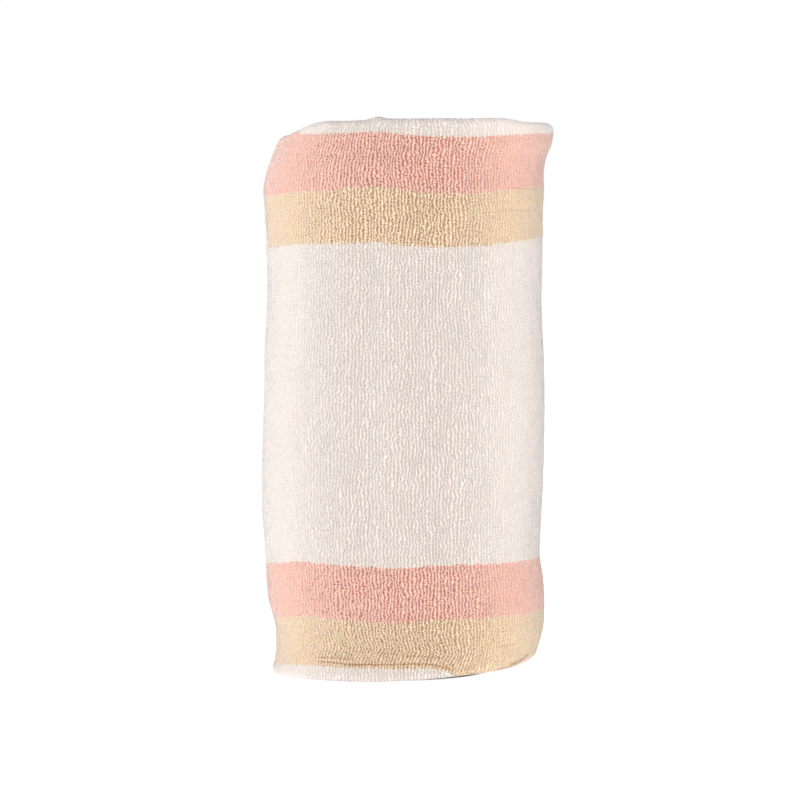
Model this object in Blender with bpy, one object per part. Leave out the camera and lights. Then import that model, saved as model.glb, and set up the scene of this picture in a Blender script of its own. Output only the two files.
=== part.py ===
"""A striped terry beach towel, folded in thirds and rolled up, standing on one end.

Metres, +Z up, the front of the roll towards -Y. The cloth is folded lengthwise into a strip of three
plies, about 9 mm thick together, and wound round itself. Both ends of the roll show the spiral of the
folds, and the strip's own end lies as one upright step on the back.
"""

import math
from collections import namedtuple

import bmesh
import bpy

# How the strip is wound: its turns, where it ends, and how far past its end the step runs out.
TURNS = 8
COLUMNS = 56
LAP_ANGLE = math.radians(62)
LAP_EASE = math.radians(116)

# The core, where the turns close, is pressed flat. The outer face is a little squarer than an ellipse.
CORE_TURNS = 0.7
CORE_FADE = 0.9
CORE_FLAT = 0.010
CORE_FLAT_EASE = 0.3
SQUARENESS = 2.25

# The ends: how deep the groove between two turns goes, and how soon the inner turns stand level.
TOP_GROOVE = 0.0050
BASE_GROOVE = 0.0034
RIDGE_MIDDLE = 0.5
TOP_LEVEL_TURNS = 2.0
BASE_LEVEL_TURNS = 1.3
INNER_TOP = 0.2960
CORE_SINK = 0.0015
TURN_HEIGHTS = (0.0, -0.0014, 0.0008, -0.0020, -0.0006, -0.0026, -0.0016, -0.0036)

# One ridge of each end, from its outer side inwards: share of the turn, and share of the groove's depth.
RidgePoint = namedtuple("RidgePoint", "across drop")
TOP_RIDGE = (RidgePoint(0.0, 1.0), RidgePoint(0.22, 0.22), RidgePoint(0.5, 0.0), RidgePoint(0.78, 0.22))
BASE_RIDGE = (RidgePoint(0.0, 1.0), RidgePoint(0.16, 0.0), RidgePoint(0.84, 0.0))

# Shares of the outer face's height at which its rings lie.
RING_HEIGHTS = (
    0.0, 0.015, 0.035, 0.07, 0.12, 0.18, 0.25, 0.34, 0.44, 0.54, 0.64,
    0.73, 0.80, 0.86, 0.905, 0.94, 0.965, 0.985, 1.0,
)

# How far the outer face stands from the axis on each side, from the floor up.
Section = namedtuple("Section", "height left right front back")
SECTIONS = (
    Section(0.000, 0.0722, 0.0690, 0.0632, 0.0658),
    Section(0.006, 0.0708, 0.0708, 0.0638, 0.0669),
    Section(0.013, 0.0701, 0.0728, 0.0643, 0.0678),
    Section(0.026, 0.0702, 0.0756, 0.0644, 0.0686),
    Section(0.039, 0.0734, 0.0761, 0.0644, 0.0688),
    Section(0.053, 0.0746, 0.0750, 0.0648, 0.0686),
    Section(0.066, 0.0750, 0.0740, 0.0651, 0.0684),
    Section(0.089, 0.0770, 0.0746, 0.0652, 0.0682),
    Section(0.148, 0.0762, 0.0762, 0.0648, 0.0682),
    Section(0.200, 0.0745, 0.0746, 0.0646, 0.0684),
    Section(0.214, 0.0740, 0.0752, 0.0648, 0.0686),
    Section(0.231, 0.0745, 0.0756, 0.0652, 0.0688),
    Section(0.249, 0.0761, 0.0758, 0.0655, 0.0688),
    Section(0.262, 0.0772, 0.0761, 0.0655, 0.0686),
    Section(0.272, 0.0758, 0.0761, 0.0652, 0.0682),
    Section(0.280, 0.0734, 0.0776, 0.0648, 0.0677),
    Section(0.286, 0.0712, 0.0800, 0.0645, 0.0673),
    Section(0.292, 0.0690, 0.0811, 0.0642, 0.0669),
    Section(0.297, 0.0652, 0.0830, 0.0640, 0.0663),
    Section(0.300, 0.0600, 0.0842, 0.0638, 0.0656),
)

# The crest of the outermost fold and its lower edge, round the roll. Angles in degrees from +X.
Rim = namedtuple("Rim", "angle crest lift")
RIMS = (
    Rim(-180, 0.2925, 0.0000),
    Rim(-162, 0.2934, 0.0000),
    Rim(-148, 0.2972, 0.0000),
    Rim(-128, 0.2998, 0.0000),
    Rim(-102, 0.3000, 0.0000),
    Rim(-88, 0.2990, 0.0010),
    Rim(-62, 0.2997, 0.0032),
    Rim(-48, 0.2998, 0.0040),
    Rim(-34, 0.2994, 0.0048),
    Rim(-18, 0.2990, 0.0066),
    Rim(0, 0.2988, 0.0080),
    Rim(40, 0.2974, 0.0050),
    Rim(80, 0.2968, 0.0010),
    Rim(120, 0.2956, 0.0000),
    Rim(150, 0.2932, 0.0000),
)

# Soft troughs and hollows in the front, by their middle, half sizes and depth. Past its half height
# a trough runs out over this share of it.
TROUGH_RUN_OUT = 0.9
Trough = namedtuple("Trough", "x height half_width half_height depth")
TROUGHS = (
    Trough(-0.0190, 0.150, 0.0085, 0.071, 0.0026),
    Trough(0.0170, 0.150, 0.0080, 0.066, 0.0022),
    Trough(-0.0210, 0.027, 0.0130, 0.0095, 0.0020),
    Trough(0.0140, 0.032, 0.0120, 0.0095, 0.0016),
)

CREAM = (0.80, 0.73, 0.66, 1.0)
TERRY_ROUGHNESS = 0.95
SHARP_EDGE = math.radians(50)


def blend(share):
    """0 to 1 with soft ends."""
    share = min(max(share, 0.0), 1.0)
    return share * share * (3.0 - 2.0 * share)


def through(places, values, place):
    """A soft curve through the values at these places."""
    last = len(places) - 1
    place = min(max(place, places[0]), places[last])
    i = max(n for n in range(last) if places[n] <= place)
    before, after = max(i - 1, 0), min(i + 2, last)
    span = places[i + 1] - places[i]
    slope_in = (values[i + 1] - values[before]) / (places[i + 1] - places[before])
    slope_out = (values[after] - values[i]) / (places[after] - places[i])
    t = (place - places[i]) / span
    return (
        values[i] * (2 * t**3 - 3 * t**2 + 1)
        + values[i + 1] * (3 * t**2 - 2 * t**3)
        + span * slope_in * (t**3 - 2 * t**2 + t)
        + span * slope_out * (t**3 - t**2)
    )


def section_side(side, height):
    """How far the outer face stands from the axis on one side, at a height."""
    places = [section.height for section in SECTIONS]
    values = [getattr(section, side) for section in SECTIONS]
    return through(places, values, height)


def rim(measure, angle):
    """The crest or the lift of the outermost fold at an angle about the axis."""
    rows = RIMS[-2:] + RIMS + RIMS[:2]
    turns = (-360, -360) + (0,) * len(RIMS) + (360, 360)
    places = [row.angle + turn for row, turn in zip(rows, turns)]
    values = [getattr(row, measure) for row in rows]
    degrees = (math.degrees(angle) + 180) % 360 - 180
    return through(places, values, degrees)


def trough_depth(x, height):
    """How far the troughs draw the front in, at a place across it and a height."""
    depth = 0.0
    for trough in TROUGHS:
        across = (x - trough.x) / trough.half_width
        along = abs(height - trough.height) / trough.half_height
        run_out = blend((1 + TROUGH_RUN_OUT - along) / TROUGH_RUN_OUT)
        depth += trough.depth * math.exp(-across * across) * run_out
    return depth


def outline(angle, height):
    """Plan point of the outer face at an angle about the axis and a height."""
    power = 2.0 / SQUARENESS
    cosine, sine = math.cos(angle), math.sin(angle)
    half_width = section_side("right" if cosine > 0 else "left", height)
    half_depth = section_side("back" if sine > 0 else "front", height)
    x = half_width * math.copysign(abs(cosine) ** power, cosine)
    y = half_depth * math.copysign(abs(sine) ** power, sine)
    if y < 0:
        y += trough_depth(x, height) * abs(sine)
    return x, y


def turns_out(column, turns_in):
    """Turns of cloth between the axis and a point that lies some turns in from the outer face."""
    return TURNS - 1 + share_round(column) - turns_in


def share_round(column):
    """Share of a full turn from the lap to this column."""
    return column / COLUMNS


def wound(column, turns_in, height):
    """A point of the roll, a number of turns in from its outer face. None stands for the core."""
    outwards = turns_out(column, turns_in)
    if outwards < CORE_TURNS:
        return None
    round_share = share_round(column)
    angle = LAP_ANGLE + 2 * math.pi * round_share
    past_lap = 1 - blend(2 * math.pi * round_share / LAP_EASE)
    drawn_in = 1 - past_lap / TURNS
    share = outwards / turns_out(column, 0) * drawn_in
    x, y = outline(angle, height)
    flat = CORE_FLAT * math.cos(angle) * (1 - share) * blend(share / CORE_FLAT_EASE)
    return x * share + flat, y * share, height


def core_drop(column, turns_in, drop):
    """A ridge's drop, deepened to the groove's own where the turns close on the core."""
    kept = blend((turns_out(column, turns_in) - CORE_TURNS) / CORE_FADE)
    return drop * kept + 1 - kept


def top_height(column, turns_in, drop):
    """Height of the upper end: the outer fold's own crest, and level turns inside it."""
    drop = core_drop(column, turns_in, drop)
    angle = LAP_ANGLE + 2 * math.pi * share_round(column)
    outer = 1 - blend((turns_in - RIDGE_MIDDLE) / TOP_LEVEL_TURNS)
    along = min(max(turns_in - share_round(column) + 1, 0), TURNS - 1)
    step = through(range(TURNS), TURN_HEIGHTS, along)
    level = INNER_TOP + step
    return level + (rim("crest", angle) - level) * outer - TOP_GROOVE * drop


def base_height(column, turns_in, drop):
    """Height of the lower end: the inner turns stand on the floor, the outer fold lifts from it."""
    drop = core_drop(column, turns_in, drop)
    angle = LAP_ANGLE + 2 * math.pi * share_round(column)
    outer = 1 - blend((turns_in - RIDGE_MIDDLE) / BASE_LEVEL_TURNS)
    return max(rim("lift", angle), 0.0) * outer + BASE_GROOVE * drop


def end_rings(mesh, ridge, height_of, core_height):
    """Points of one end, keyed by ring and column, one ring for each ridge point of each turn."""
    points = {}
    core = mesh.verts.new((0, 0, core_height))
    rings = TURNS * len(ridge)
    for ring in range(rings + 1):
        turn, place = divmod(ring, len(ridge))
        turns_in = turn + ridge[place].across
        for column in range(COLUMNS):
            height = height_of(column, turns_in, ridge[place].drop)
            spot = wound(column, turns_in, height)
            points[ring, column] = mesh.verts.new(spot) if spot else core
        if turn > 0:
            points[ring, COLUMNS] = points[ring - len(ridge), 0]
            continue
        height = height_of(COLUMNS, turns_in, ridge[place].drop)
        points[ring, COLUMNS] = mesh.verts.new(wound(COLUMNS, turns_in, height))
    return points, rings


def add_face(mesh, corners):
    """A face through these points, without those that fall together."""
    kept = list(dict.fromkeys(corners))
    if len(kept) > 2:
        mesh.faces.new(kept)


def end_faces(mesh, points, rings):
    for ring in range(rings):
        for column in range(COLUMNS):
            add_face(
                mesh,
                (
                    points[ring, column],
                    points[ring, column + 1],
                    points[ring + 1, column + 1],
                    points[ring + 1, column],
                ),
            )


def outer_rings(mesh, base, top):
    """Rings of the outer face, between the outermost points of the two ends."""
    rings = [[base[0, column] for column in range(COLUMNS + 1)]]
    for share in RING_HEIGHTS[1:-1]:
        ring = []
        for column in range(COLUMNS + 1):
            low, high = base[0, column].co.z, top[0, column].co.z
            ring.append(mesh.verts.new(wound(column, 0, low + (high - low) * share)))
        rings.append(ring)
    rings.append([top[0, column] for column in range(COLUMNS + 1)])
    return rings


def outer_faces(mesh, rings):
    for lower, upper in zip(rings, rings[1:]):
        for column in range(COLUMNS):
            add_face(mesh, (lower[column], lower[column + 1], upper[column + 1], upper[column]))


def lap_faces(mesh, rings, base, top):
    """The strip's end: an upright step from the outermost turn to the one under it."""
    base_edge = [base[place, COLUMNS] for place in range(1, len(BASE_RIDGE))]
    top_edge = [top[place, COLUMNS] for place in range(1, len(TOP_RIDGE))]
    last = len(rings) - 2
    for i, (lower, upper) in enumerate(zip(rings, rings[1:])):
        corners = [lower[COLUMNS]]
        corners += base_edge if i == 0 else []
        corners += [lower[0], upper[0]]
        corners += reversed(top_edge) if i == last else []
        corners += [upper[COLUMNS]]
        add_face(mesh, corners)


def centred(mesh):
    """Moves the roll so that its box stands over the origin."""
    xs = [vert.co.x for vert in mesh.verts]
    ys = [vert.co.y for vert in mesh.verts]
    shift = (-(min(xs) + max(xs)) / 2, -(min(ys) + max(ys)) / 2, 0)
    bmesh.ops.translate(mesh, verts=mesh.verts, vec=shift)


def terry():
    material = bpy.data.materials.new("terry")
    material.use_nodes = True
    shader = material.node_tree.nodes["Principled BSDF"]
    shader.inputs["Base Color"].default_value = CREAM
    shader.inputs["Roughness"].default_value = TERRY_ROUGHNESS
    shader.inputs["Metallic"].default_value = 0.0
    return material


def rolled_towel():
    mesh = bmesh.new()
    base, base_count = end_rings(mesh, BASE_RIDGE, base_height, BASE_GROOVE)
    core_top = INNER_TOP + TURN_HEIGHTS[-1] - TOP_GROOVE - CORE_SINK
    top, top_count = end_rings(mesh, TOP_RIDGE, top_height, core_top)
    end_faces(mesh, base, base_count)
    end_faces(mesh, top, top_count)
    rings = outer_rings(mesh, base, top)
    outer_faces(mesh, rings)
    lap_faces(mesh, rings, base, top)
    loose = [vert for vert in mesh.verts if not vert.link_faces]
    bmesh.ops.delete(mesh, geom=loose, context="VERTS")
    bmesh.ops.recalc_face_normals(mesh, faces=mesh.faces)
    centred(mesh)
    data = bpy.data.meshes.new("towel")
    mesh.to_mesh(data)
    mesh.free()
    data.shade_smooth()
    data.set_sharp_from_angle(angle=SHARP_EDGE)
    data.materials.append(terry())
    return bpy.data.objects.new("towel", data)


def main():
    for old in list(bpy.data.objects):
        bpy.data.objects.remove(old)
    collection = bpy.data.collections.new("Beach towel")
    bpy.context.scene.collection.children.link(collection)
    collection.objects.link(rolled_towel())


main()
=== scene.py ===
# %% [markdown]
# # A striped terry beach towel, rolled up and standing on one end
#
# The towel is one rectangle of cotton terry, 0.90 m wide and 1.75 m long, with stripes along its length.
# It was folded in thirds across its width, like a letter, into a strip 0.30 m wide. That strip was then
# rolled up along its length, and the roll stands on one end. So the outside shows the middle third, the
# two ends show the folds, and one upright step on the back is where the strip stops.
#
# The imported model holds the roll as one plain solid. Here the cloth itself is made: a real sheet with its
# thickness, its two folds, its hems and its ribs of loops, wound by the same formulas as the solid. The
# first cell loads the solid and notes its box, since the cloth has to keep to it, to about a millimetre.

# %% The solid roll
import math
from collections import namedtuple

import bmesh
import bpy
import numpy as np
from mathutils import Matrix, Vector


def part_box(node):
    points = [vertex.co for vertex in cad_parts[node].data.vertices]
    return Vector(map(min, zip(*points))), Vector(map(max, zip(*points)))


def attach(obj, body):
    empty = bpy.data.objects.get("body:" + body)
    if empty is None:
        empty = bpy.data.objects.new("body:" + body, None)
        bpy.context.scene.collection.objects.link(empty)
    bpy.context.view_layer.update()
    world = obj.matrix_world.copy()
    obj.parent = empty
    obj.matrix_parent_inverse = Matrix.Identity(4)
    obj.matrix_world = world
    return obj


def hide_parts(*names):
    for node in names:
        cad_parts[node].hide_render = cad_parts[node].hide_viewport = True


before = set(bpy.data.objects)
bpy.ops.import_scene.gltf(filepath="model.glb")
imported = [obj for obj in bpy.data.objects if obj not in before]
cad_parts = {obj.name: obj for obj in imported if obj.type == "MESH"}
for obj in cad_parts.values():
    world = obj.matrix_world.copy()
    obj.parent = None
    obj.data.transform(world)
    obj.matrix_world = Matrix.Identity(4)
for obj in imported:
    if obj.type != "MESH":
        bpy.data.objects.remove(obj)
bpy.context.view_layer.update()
solid_low, solid_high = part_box("towel")
print("solid roll, mm:", [round(1000 * size, 1) for size in solid_high - solid_low])

# %% [markdown]
# ## The camera
#
# The picture was taken from well back with a long lens, so the roll shows almost no perspective. Its
# horizon lies a little under the roll's upper end: the camera is as high as that and looks down by two
# and a half degrees. A tilt is used and not a lens shift, because a shift would stay on in other views.

# %% Camera
CAMERA_PLACE = (-0.0041, -2.3, 0.2486)
CAMERA_TILT = math.radians(2.509)
CAMERA_LENS_MM = 190.66

camera = bpy.data.objects.new("camera", bpy.data.cameras.new("camera"))
camera.location = CAMERA_PLACE
camera.rotation_euler = (math.pi / 2 - CAMERA_TILT, 0, 0)
camera.data.lens = CAMERA_LENS_MM
bpy.context.scene.collection.objects.link(camera)
bpy.context.scene.camera = camera
print("camera distance, m:", -CAMERA_PLACE[1])

# %% [markdown]
# ## How the strip is wound
#
# A roll of eight turns could be simulated, but it would not land in the picture's outline. It is worked
# out instead. A point of the roll has a turn, counted from the core to the strip's outer end, a depth,
# which is how many turns it lies under the outer face, and a height. The outer face has a slightly square
# oval as its plan, whose four half widths change with the height, and every inner turn is a smaller copy
# of it. Most of the numbers are the solid's own, in metres. The half widths and the heights of the two
# ends were fitted to the picture once more for the cloth, and differ from the solid's by up to 3 mm.

# %% Sizes of the winding
TURNS = 8
LAP_ANGLE = math.radians(62)
LAP_EASE = math.radians(116)
CORE_FLAT = 0.010
CORE_FLAT_EASE = 0.3
SQUARENESS = 2.25
CORE_PRESS = 0.50
CORE_REACH = 0.9

Section = namedtuple("Section", "height left right front back")
SECTIONS = (
    Section(0.000, 0.0722, 0.0694, 0.0632, 0.0658),
    Section(0.006, 0.0704, 0.0716, 0.0638, 0.0669),
    Section(0.013, 0.0698, 0.0737, 0.0643, 0.0678),
    Section(0.026, 0.0702, 0.0768, 0.0644, 0.0686),
    Section(0.039, 0.0734, 0.0771, 0.0644, 0.0688),
    Section(0.053, 0.0746, 0.0762, 0.0648, 0.0686),
    Section(0.066, 0.0750, 0.0749, 0.0651, 0.0684),
    Section(0.089, 0.0766, 0.0754, 0.0652, 0.0682),
    Section(0.148, 0.0756, 0.0767, 0.0648, 0.0682),
    Section(0.200, 0.0738, 0.0750, 0.0646, 0.0684),
    Section(0.214, 0.0735, 0.0755, 0.0648, 0.0686),
    Section(0.231, 0.0739, 0.0759, 0.0652, 0.0688),
    Section(0.249, 0.0749, 0.0760, 0.0655, 0.0688),
    Section(0.262, 0.0756, 0.0762, 0.0655, 0.0686),
    Section(0.272, 0.0737, 0.0762, 0.0652, 0.0682),
    Section(0.280, 0.0711, 0.0777, 0.0648, 0.0677),
    Section(0.286, 0.0686, 0.0802, 0.0645, 0.0673),
    Section(0.292, 0.0664, 0.0813, 0.0642, 0.0669),
    Section(0.297, 0.0625, 0.0814, 0.0640, 0.0663),
    Section(0.300, 0.0585, 0.0812, 0.0638, 0.0656),
)
TROUGH_RUN_OUT = 0.9
Trough = namedtuple("Trough", "x height half_width half_height depth")
TROUGHS = (
    Trough(-0.0190, 0.150, 0.0085, 0.071, 0.0026),
    Trough(0.0170, 0.150, 0.0080, 0.066, 0.0022),
    Trough(-0.0210, 0.027, 0.0130, 0.0095, 0.0020),
    Trough(0.0140, 0.032, 0.0120, 0.0095, 0.0016),
)
print("rows that shape the outer face:", len(SECTIONS))

# %% [markdown]
# A few small helpers carry all the tables. `blend` goes from 0 to 1 with soft ends, `through` runs a soft
# curve through a table's rows, and `round_roll` does so for a table that closes on itself. They take whole
# arrays, so a row of points costs one call.

# %% Soft steps and curves
def blend(share):
    share = np.clip(share, 0.0, 1.0)
    return share * share * (3.0 - 2.0 * share)


def through(places, values, place):
    """A soft curve through the values at these places."""
    places, values = np.asarray(places, float), np.asarray(values, float)
    last = len(places) - 1
    place = np.clip(place, places[0], places[last])
    i = np.clip(np.searchsorted(places, place, side="right") - 1, 0, last - 1)
    before, after = np.maximum(i - 1, 0), np.minimum(i + 2, last)
    span = places[i + 1] - places[i]
    slope_in = (values[i + 1] - values[before]) / (places[i + 1] - places[before])
    slope_out = (values[after] - values[i]) / (places[after] - places[i])
    t = (place - places[i]) / span
    return (
        values[i] * (2 * t**3 - 3 * t**2 + 1)
        + values[i + 1] * (3 * t**2 - 2 * t**3)
        + span * slope_in * (t**3 - 2 * t**2 + t)
        + span * slope_out * (t**3 - t**2)
    )


def round_roll(rows, measure, angle):
    """A soft curve through one column of a table whose rows go once round the roll, in degrees from +X."""
    padded = rows[-2:] + rows + rows[:2]
    turns = (-360, -360) + (0,) * len(rows) + (360, 360)
    places = [row.angle + turn for row, turn in zip(padded, turns)]
    degrees = (np.degrees(angle) + 180) % 360 - 180
    return through(places, [getattr(row, measure) for row in padded], degrees)


print("halfway up a soft step:", blend(0.5))

# %% [markdown]
# The plan of a towel rolled by hand isn't round: it is pressed flatter and a little square. An oval would
# be too pointed at its sides, so its formula gets a power over two. The troughs are soft dents in the
# front, two long ones up its middle and two short ones near its foot.

# %% Plan of the outer face
def reach(side, height):
    return through([row.height for row in SECTIONS], [getattr(row, side) for row in SECTIONS], height)


def trough_depth(x, height):
    depth = 0.0
    for trough in TROUGHS:
        across = (x - trough.x) / trough.half_width
        along = np.abs(height - trough.height) / trough.half_height
        run_out = blend((1 + TROUGH_RUN_OUT - along) / TROUGH_RUN_OUT)
        depth = depth + trough.depth * np.exp(-across * across) * run_out
    return depth


def outline(angle, height):
    """Plan of the outer face at an angle about the axis and a height."""
    cosine, sine = np.cos(angle), np.sin(angle)
    half_width = np.where(cosine > 0, reach("right", height), reach("left", height))
    half_depth = np.where(sine > 0, reach("back", height), reach("front", height))
    x = half_width * np.sign(cosine) * np.abs(cosine) ** (2 / SQUARENESS)
    y = half_depth * np.sign(sine) * np.abs(sine) ** (2 / SQUARENESS)
    return x, y + np.where(y < 0, trough_depth(x, height) * np.abs(sine), 0)


print("outline halfway up, mm:", [round(1000 * reach(side, 0.15), 1) for side in Section._fields[1:]])

# %% [markdown]
# Every turn is a share of the outer face. Just past the angle of the loose end each turn climbs over the
# one under it, and that makes the upright step on the back. The first turns are pressed together round a
# flat core, as where a towel is first folded over to start the roll. The winding's own axis isn't the
# middle of its box, so the whole cloth is shifted until its outer face is centred in the solid's box.

# %% Winding
def angle_of(turn):
    return LAP_ANGLE + 2 * math.pi * turn


def wound(turn, depth, height):
    """Where a point of the roll is, about the winding's own axis."""
    share_round = turn - np.minimum(np.floor(turn), TURNS - 1)
    drawn_in = 1 - (1 - blend(2 * math.pi * share_round / LAP_EASE)) / TURNS
    inwards = turn - depth
    pressed = inwards * (1 - CORE_PRESS * np.exp(-((inwards / CORE_REACH) ** 2)))
    share = pressed / (TURNS - 1 + share_round) * drawn_in
    x, y = outline(angle_of(turn), height)
    flat = CORE_FLAT * np.cos(angle_of(turn)) * (1 - share) * blend(share / CORE_FLAT_EASE)
    return np.stack(np.broadcast_arrays(x * share + flat, y * share, height), axis=-1)


BOX_TURN_STEPS, BOX_HEIGHT_STEPS, BOX_TOP = 57, 60, 0.295
test_turns, test_heights = np.meshgrid(
    np.linspace(TURNS - 1, TURNS, BOX_TURN_STEPS), np.linspace(0, BOX_TOP, BOX_HEIGHT_STEPS)
)
outer_face = wound(test_turns, 0, test_heights).reshape(-1, 3)
axis_shift = np.array((solid_low + solid_high) / 2) - (outer_face.min(0) + outer_face.max(0)) / 2
axis_shift[2] = 0
print("winding axis beside the box's middle, mm:", np.round(1000 * axis_shift, 2))

# %% [markdown]
# ## The two ends
#
# The upper end of the outermost turn has a crest that is high and level over the front, slopes away on the
# left, and dips a little on the right, where it flares out to a corner. The lower end lies on the floor,
# apart from the right half, where the outer turns lift and the ones inside them carry the weight. The
# inner turns stand at heights of their own.

# %% Heights of the ends
INNER_TOP = 0.2960
TURN_HEIGHTS = (0.0, -0.0014, 0.0008, -0.0020, -0.0006, -0.0026, -0.0016, -0.0036)
CORE_SINK, CORE_SINK_FROM, CORE_SINK_EASE = 0.003, 6.3, 0.8
RIM_TURNS, RIM_EASE = 0.9, 1.2
LIFTED_TURNS, LIFT_EASE = 2.2, 1.5
OUTERMOST_EASE = 0.2

Rim = namedtuple("Rim", "angle crest lift")
RIMS = (
    Rim(-180, 0.2912, 0.0000),
    Rim(-162, 0.2912, 0.0000),
    Rim(-150, 0.2940, 0.0000),
    Rim(-142, 0.2968, 0.0000),
    Rim(-132, 0.2981, 0.0000),
    Rim(-119, 0.2980, 0.0000),
    Rim(-107, 0.2986, 0.0000),
    Rim(-102, 0.3002, 0.0002),
    Rim(-96, 0.2993, 0.0005),
    Rim(-72, 0.2994, 0.0027),
    Rim(-62, 0.2994, 0.0036),
    Rim(-48, 0.2996, 0.0045),
    Rim(-36, 0.2981, 0.0055),
    Rim(-18, 0.2979, 0.0074),
    Rim(0, 0.2978, 0.0080),
    Rim(40, 0.2974, 0.0050),
    Rim(80, 0.2968, 0.0010),
    Rim(120, 0.2956, 0.0000),
    Rim(150, 0.2932, 0.0000),
)
print("rows round the two ends:", len(RIMS))

# %% [markdown]
# The outermost turn's ends follow the table. Towards the core every turn eases over to a height of its own,
# because the turns of a real roll never end level.

# %% Upper and lower folds
def turns_deep(turn):
    """How many turns lie outside this one: 0 at the strip's outer end."""
    return TURNS - turn


def beneath(turn):
    """0 on the outermost turn and 1 on the turns under it."""
    return blend((turns_deep(turn) - 1.0) / OUTERMOST_EASE)


def crest_of(turn):
    """Height of the upper fold, the outermost turn's by the rim table and the others' by their own."""
    deep = turns_deep(turn)
    level = INNER_TOP + through(range(TURNS), TURN_HEIGHTS, np.clip(deep + 0.5, 0, TURNS - 1))
    level = level - CORE_SINK * blend((deep - CORE_SINK_FROM) / CORE_SINK_EASE)
    outer = 1 - blend((deep - RIM_TURNS) / RIM_EASE)
    return level + (round_roll(RIMS, "crest", angle_of(turn)) - level) * outer


def base_of(turn):
    """Height of the lower fold over the floor."""
    lift = np.maximum(round_roll(RIMS, "lift", angle_of(turn)), 0)
    return lift * (1 - blend((turns_deep(turn) - LIFTED_TURNS) / LIFT_EASE))


print("crest over the front, mm:", np.round(1000 * crest_of(np.array([7.45, 7.6, 7.75])), 1))

# %% [markdown]
# ## The folded strip
#
# Cut through the strip and you see one cloth in three plies. The cloth starts at a free edge inside the
# upper fold, runs down as the middle ply, turns under at the lower fold, comes up as the outer ply, turns
# over at the upper fold and runs down as the inner ply to its other free edge. Each ply has a depth in
# turns and the two folds are half ovals between them. The plies could be one thick slab, but then neither
# end would show which way the towel is folded.

# %% Plies and folds
PLY_HALF = 0.148
PLY_HALF_HEIGHT = 0.0013
OUTER_PLY, MIDDLE_PLY, INNER_PLY = 0.165, 0.500, 0.835
TOP_RISE = 0.0035
BASE_RISE = 0.0019
STRIP_WIDTH = 0.300
EDGE_INSET = 0.0016
EDGE_ROUND = 0.0014
EDGE_LEAST = 0.30

Station = namedtuple("Station", "panel share")
PANELS = ("middle", "base fold", "outer", "top fold", "inner")


def edge_thickness(distance):
    """Share of the cloth's thickness at a distance from a free edge, which is rounded off."""
    inwards = np.clip(distance / EDGE_ROUND, 0, 1)
    return EDGE_LEAST + (1 - EDGE_LEAST) * np.sqrt(1 - (1 - inwards) ** 2)


def width_at(height, turn):
    """Place across the towel of a point of the outer ply: its real height on the outermost turn, and the
    same share of the strip from fold to fold on the turns inside it."""
    base, crest = base_of(turn), crest_of(turn)
    even = STRIP_WIDTH * (height - base) / (crest - base)
    return STRIP_WIDTH + height + (even - height) * beneath(turn)


print("cloth thickness, mm:", round(2000 * PLY_HALF_HEIGHT, 1))


# %% [markdown]
# `section` follows the cut from the first free edge to the other, ply by ply and fold by fold. It answers
# with a depth in turns, a height, and the place across the towel, which the stripes will need. The cloth
# thins out at the free edges, and the straight plies stop short of crest and foot by a fold's own rise.

# %% Path of the cloth through the strip
FRONT_MIDDLE_TURN = TURNS - 0.42


def section(station, face, turn, end_round):
    """Depth, height and place across the towel of a station. face is +1 for the cloth's outer face, -1 for
    its back."""
    base, crest = base_of(turn), crest_of(turn)
    low = base + BASE_RISE + PLY_HALF_HEIGHT
    high = crest - TOP_RISE - PLY_HALF_HEIGHT
    low_fold, high_fold = width_at(base, turn), width_at(crest, turn)
    bend = math.pi * station.share
    half = face * PLY_HALF * end_round
    half_height = face * PLY_HALF_HEIGHT * end_round
    if station.panel == "middle":
        top = high - EDGE_INSET
        height = top + (low - top) * station.share
        half = half * edge_thickness(top - height)
        return MIDDLE_PLY + half, height, 2 * low_fold - width_at(height, turn)
    if station.panel == "base fold":
        middle, spread = (MIDDLE_PLY + OUTER_PLY) / 2, (MIDDLE_PLY - OUTER_PLY) / 2
        depth = middle + (spread + half) * math.cos(bend)
        height = low - (BASE_RISE + half_height) * math.sin(bend)
        return depth, height, low_fold - (width_at(low, turn) - low_fold) * math.cos(bend)
    if station.panel == "outer":
        height = low + (high - low) * station.share
        return OUTER_PLY - half, height, width_at(height, turn)
    if station.panel == "top fold":
        middle, spread = (OUTER_PLY + INNER_PLY) / 2, (INNER_PLY - OUTER_PLY) / 2
        depth = middle - (spread + half) * math.cos(bend)
        height = high + (TOP_RISE + half_height) * math.sin(bend)
        return depth, height, high_fold - (high_fold - width_at(high, turn)) * (1 - 2 * station.share)
    bottom = base + EDGE_INSET
    height = high + (bottom - high) * station.share
    half = half * edge_thickness(height - bottom)
    return INNER_PLY + half, height, 2 * high_fold - width_at(height, turn)


fold_tip = section(Station("top fold", 0.5), 1, FRONT_MIDDLE_TURN, 1.0)
print("tip of the upper fold on the front, mm high:", round(1000 * float(fold_tip[1]), 1))

# %% [markdown]
# The length of cloth used up along the spiral is measured once, on a fine row of points, and then read
# both ways: from a turn to a length and from a length to a turn. The outer ply is the one whose ribs show,
# so the ribs are spaced out on it. The middle ply lies where the strip neither stretches nor gathers, so
# its length is the towel's.

# %% Length along the strip
CORE_START = 1.0
MIDDLE_HEIGHT = 0.15
LENGTH_STEPS = 6000

fine_turns = np.linspace(CORE_START, TURNS, LENGTH_STEPS)


def lengths_along(ply):
    """Length from the core to each of the fine turns, along one ply."""
    spiral = wound(fine_turns, ply, MIDDLE_HEIGHT)
    return np.concatenate([[0], np.cumsum(np.linalg.norm(np.diff(spiral, axis=0), axis=1))])


fine_lengths = lengths_along(OUTER_PLY)
cloth_length = fine_lengths[-1]


def turn_at(length):
    return np.interp(length, fine_lengths, fine_turns)


def length_at(turn):
    return np.interp(turn, fine_turns, fine_lengths)


print("towel's length by its middle ply, m:", round(lengths_along(MIDDLE_PLY)[-1], 3))

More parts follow.
